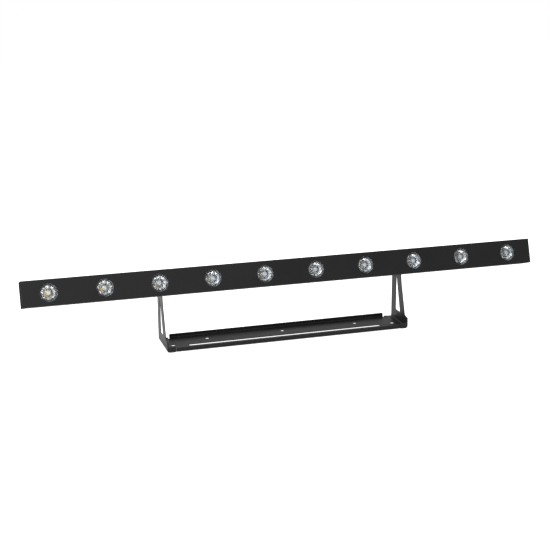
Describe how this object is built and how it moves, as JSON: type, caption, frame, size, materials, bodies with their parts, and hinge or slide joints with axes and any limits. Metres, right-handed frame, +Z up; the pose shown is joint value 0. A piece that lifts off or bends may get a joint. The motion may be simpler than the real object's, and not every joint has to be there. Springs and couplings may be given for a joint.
{
  "type": "led strip batten",
  "caption": "Slim black LED batten light with a row of round lenses, a driver case on its back, and a folded floor bracket that it tilts in.",
  "frame": {"origin": "on the floor, in the middle of the bracket's base plate", "axes": "+X along the lamp body, -Y the way the light faces, +Z up"},
  "size_m": [0.996, 0.0983, 0.159],
  "materials": {
    "bracket_paint": "satin black powder coat on folded sheet steel",
    "panel_paint": "matte black fine-texture powder coat",
    "housing_anodised": "black anodised extrusion",
    "board_white": "white solder mask on an aluminium-core board",
    "lens_clear": "clear moulded optical acrylic",
    "holder_silver": "silvered moulded plastic",
    "emitter_phosphor": "white ceramic base with a warm yellow phosphor dome",
    "case_paint": "matte black powder coat on sheet steel",
    "supply_metal": "plain aluminium case",
    "board_green": "green solder mask",
    "window_gloss": "smoked gloss window",
    "button_plastic": "moulded matte plastic",
    "socket_blue": "blue moulded nylon",
    "socket_grey": "light grey moulded nylon",
    "socket_black": "black moulded nylon",
    "tab_metal": "plain pressed steel",
    "knob_plastic": "black glass-filled nylon",
    "washer_nylon": "natural nylon",
    "bush_steel": "zinc-plated steel"
  },
  "bodies": {
    "bracket": {"base_plate": "bracket_paint", "bracket_arm_left": "bracket_paint", "bracket_arm_right": "bracket_paint"},
    "lamp_body": {"front_panel": "panel_paint", "housing": "housing_anodised", "end_cap_left": "housing_anodised", "end_cap_right": "housing_anodised", "led_board": "board_white", "lens_01": "lens_clear", "lens_holder_01": "holder_silver", "led_emitter_01": "emitter_phosphor", "lens_02": "lens_clear", "lens_holder_02": "holder_silver", "led_emitter_02": "emitter_phosphor", "lens_03": "lens_clear", "lens_holder_03": "holder_silver", "led_emitter_03": "emitter_phosphor", "lens_04": "lens_clear", "lens_holder_04": "holder_silver", "led_emitter_04": "emitter_phosphor", "lens_05": "lens_clear", "lens_holder_05": "holder_silver", "led_emitter_05": "emitter_phosphor", "lens_06": "lens_clear", "lens_holder_06": "holder_silver", "led_emitter_06": "emitter_phosphor", "lens_07": "lens_clear", "lens_holder_07": "holder_silver", "led_emitter_07": "emitter_phosphor", "lens_08": "lens_clear", "lens_holder_08": "holder_silver", "led_emitter_08": "emitter_phosphor", "lens_09": "lens_clear", "lens_holder_09": "holder_silver", "led_emitter_09": "emitter_phosphor", "lens_10": "lens_clear", "lens_holder_10": "holder_silver", "led_emitter_10": "emitter_phosphor", "driver_tray": "case_paint", "driver_cover": "case_paint", "power_supply": "supply_metal", "control_board": "board_green", "display_window": "window_gloss", "power_in_socket": "socket_blue", "power_out_socket": "socket_grey", "data_in_socket": "socket_black", "data_out_socket": "socket_black", "fuse_holder": "socket_black", "friction_washer_left": "washer_nylon", "pivot_bush_left": "bush_steel", "friction_washer_right": "washer_nylon", "pivot_bush_right": "bush_steel"},
    "clamp_knob_left": {"clamp_knob_left": "knob_plastic"},
    "clamp_knob_right": {"clamp_knob_right": "knob_plastic"},
    "data_out_release_tab": {"data_out_release_tab": "tab_metal"},
    "down_button": {"down_button": "button_plastic"},
    "enter_button": {"enter_button": "button_plastic"},
    "fuse_cap": {"fuse_cap": "socket_black"},
    "menu_button": {"menu_button": "button_plastic"},
    "up_button": {"up_button": "button_plastic"}
  },
  "joints": [
    {"name": "tilt", "type": "hinge", "parent": "bracket", "child": "lamp_body", "pos_m": [0, 0.0256, 0.114], "axis": [-1, 0, 0], "range_deg": [-18.5, 90]},
    {"name": "clamp_knob_left_turn", "type": "hinge", "parent": "lamp_body", "child": "clamp_knob_left", "pos_m": [-0.24, 0.0256, 0.114], "axis": [-1, 0, 0], "range_deg": [0, 360]},
    {"name": "clamp_knob_right_turn", "type": "hinge", "parent": "lamp_body", "child": "clamp_knob_right", "pos_m": [0.24, 0.0256, 0.114], "axis": [1, 0, 0], "range_deg": [0, 360]},
    {"name": "menu_press", "type": "slide", "parent": "lamp_body", "child": "menu_button", "axis": [0, -0.9483, 0.3173], "range_m": [0, 0.0012], "stiffness_N_per_m": 400, "springref_m": -0.001},
    {"name": "up_press", "type": "slide", "parent": "lamp_body", "child": "up_button", "axis": [0, -0.9483, 0.3173], "range_m": [0, 0.0012], "stiffness_N_per_m": 400, "springref_m": -0.001},
    {"name": "down_press", "type": "slide", "parent": "lamp_body", "child": "down_button", "axis": [0, -0.9483, 0.3173], "range_m": [0, 0.0012], "stiffness_N_per_m": 400, "springref_m": -0.001},
    {"name": "enter_press", "type": "slide", "parent": "lamp_body", "child": "enter_button", "axis": [0, -0.9483, 0.3173], "range_m": [0, 0.0012], "stiffness_N_per_m": 400, "springref_m": -0.001},
    {"name": "release_press", "type": "slide", "parent": "lamp_body", "child": "data_out_release_tab", "axis": [0, -0.3173, -0.9483], "range_m": [0, 0.0012], "stiffness_N_per_m": 400, "springref_m": -0.001},
    {"name": "fuse_cap_turn", "type": "hinge", "parent": "lamp_body", "child": "fuse_cap", "pos_m": [-0.11, 0.04267, 0.10829], "axis": [0, 0.9483, -0.3173], "range_deg": [0, 90]}
  ]
}
